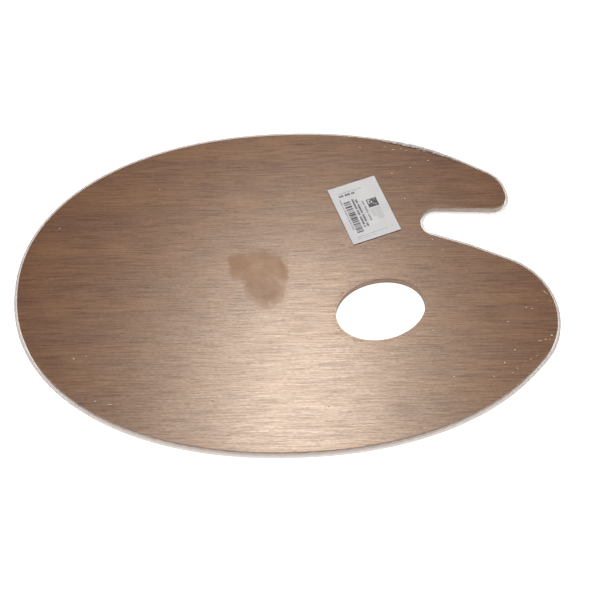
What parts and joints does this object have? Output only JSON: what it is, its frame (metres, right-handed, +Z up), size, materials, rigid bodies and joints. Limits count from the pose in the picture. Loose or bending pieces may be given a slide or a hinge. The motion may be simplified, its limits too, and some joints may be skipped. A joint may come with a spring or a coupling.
{
  "type": "mixing palette",
  "caption": "Oval wooden mixing palette with a thumb hole and an open finger notch, shrink-wrapped in clear film with a paper shop label.",
  "frame": {"origin": "centre of the footprint, on the surface that the palette lies on", "axes": "+X along the palette to the end with the finger notch, +Y across it to the side of the label, +Z up out of the mixing face"},
  "size_m": [0.2968, 0.204, 0.0063],
  "materials": {
    "backing_veneer": "sanded reddish-brown veneer, grain along X",
    "pale_core_wood": "pale cross-grained core, grain along Y",
    "mahogany_veneer": "reddish-brown veneer with fine dark pores, grain along X",
    "clear_film": "clear glossy shrink film",
    "label_paper": "matt white paper with dark print"
  },
  "bodies": {
    "root": {"back_veneer": "backing_veneer", "core_ply": "pale_core_wood", "face_veneer": "mahogany_veneer", "shrink_film": "clear_film", "barcode_label": "label_paper"}
  },
  "joints": []
}
